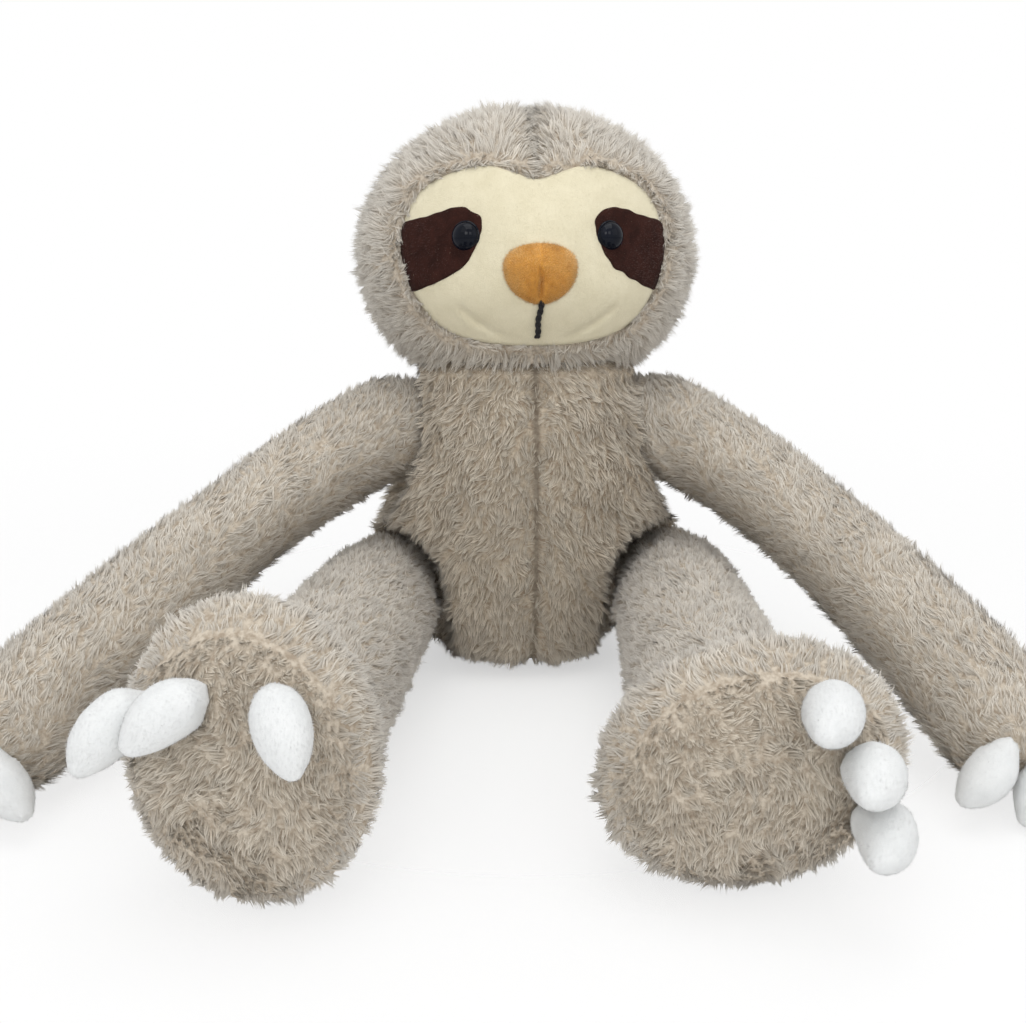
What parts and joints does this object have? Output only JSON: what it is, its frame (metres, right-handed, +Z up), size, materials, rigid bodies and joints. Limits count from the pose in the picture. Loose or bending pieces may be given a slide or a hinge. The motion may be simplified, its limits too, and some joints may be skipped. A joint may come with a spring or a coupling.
{
  "type": "plush sloth",
  "caption": "Seated plush sloth with a nodding head, long swinging stuffed arms and legs, fleece claws and a cream face.",
  "frame": {"origin": "middle of the flat seat under the torso, on the surface the toy sits on", "axes": "+Z up, the toy faces -Y, +X is the toy's own left and runs from hand to hand"},
  "size_m": [0.4284, 0.3379, 0.2595],
  "materials": {
    "grey_plush": "long brushed pile, light tips over a browner base",
    "sole_plush": "the same long pile, ruffled and a little darker",
    "cream_face": "short soft pile",
    "brown_patch": "short dense pile, dark brown",
    "caramel_nose": "short fuzzy pile",
    "white_fleece": "fine white fleece",
    "black_thread": "embroidery thread",
    "eye_gloss": "polished near-black plastic",
    "washer_plastic": "plain moulded plastic",
    "fibre_filling": "loose polyester fibre"
  },
  "bodies": {
    "torso": {"torso_back_panel": "grey_plush", "torso_front_left_panel": "grey_plush", "torso_front_right_panel": "grey_plush", "torso_stuffing": "fibre_filling"},
    "head": {"hood_left": "grey_plush", "hood_right": "grey_plush", "face_panel": "cream_face", "eye_patch_left": "brown_patch", "eye_patch_right": "brown_patch", "eye_left": "eye_gloss", "eye_right": "eye_gloss", "eye_washer_left": "washer_plastic", "eye_washer_right": "washer_plastic", "nose": "caramel_nose", "mouth_stitch": "black_thread", "head_stuffing": "fibre_filling"},
    "left_arm": {"arm_left_skin": "grey_plush", "arm_left_stuffing": "fibre_filling", "arm_left_claw_1": "white_fleece", "arm_left_claw_2": "white_fleece", "arm_left_claw_3": "white_fleece"},
    "right_arm": {"arm_right_skin": "grey_plush", "arm_right_stuffing": "fibre_filling", "arm_right_claw_1": "white_fleece", "arm_right_claw_2": "white_fleece", "arm_right_claw_3": "white_fleece"},
    "left_leg": {"leg_left_skin": "grey_plush", "leg_left_sole_panel": "sole_plush", "leg_left_stuffing": "fibre_filling", "leg_left_claw_1": "white_fleece", "leg_left_claw_2": "white_fleece", "leg_left_claw_3": "white_fleece"},
    "right_leg": {"leg_right_skin": "grey_plush", "leg_right_sole_panel": "sole_plush", "leg_right_stuffing": "fibre_filling", "leg_right_claw_1": "white_fleece", "leg_right_claw_2": "white_fleece", "leg_right_claw_3": "white_fleece"}
  },
  "joints": [
    {"name": "neck_nod", "type": "hinge", "parent": "torso", "child": "head", "pos_m": [0, 0, 0.11], "axis": [1, 0, 0], "range_deg": [-12, 10], "stiffness_Nm_per_rad": 0.5},
    {"name": "left_shoulder", "type": "hinge", "parent": "torso", "child": "left_arm", "pos_m": [0.065, -0.004, 0.112], "axis": [1, 0, 0], "range_deg": [-110, 0]},
    {"name": "right_shoulder", "type": "hinge", "parent": "torso", "child": "right_arm", "pos_m": [-0.065, -0.004, 0.112], "axis": [1, 0, 0], "range_deg": [-110, 0]},
    {"name": "left_hip", "type": "hinge", "parent": "torso", "child": "left_leg", "pos_m": [0.071, -0.02, 0.033], "axis": [1, 0, 0], "range_deg": [0, 85]},
    {"name": "right_hip", "type": "hinge", "parent": "torso", "child": "right_leg", "pos_m": [-0.071, -0.02, 0.033], "axis": [1, 0, 0], "range_deg": [0, 85]}
  ]
}
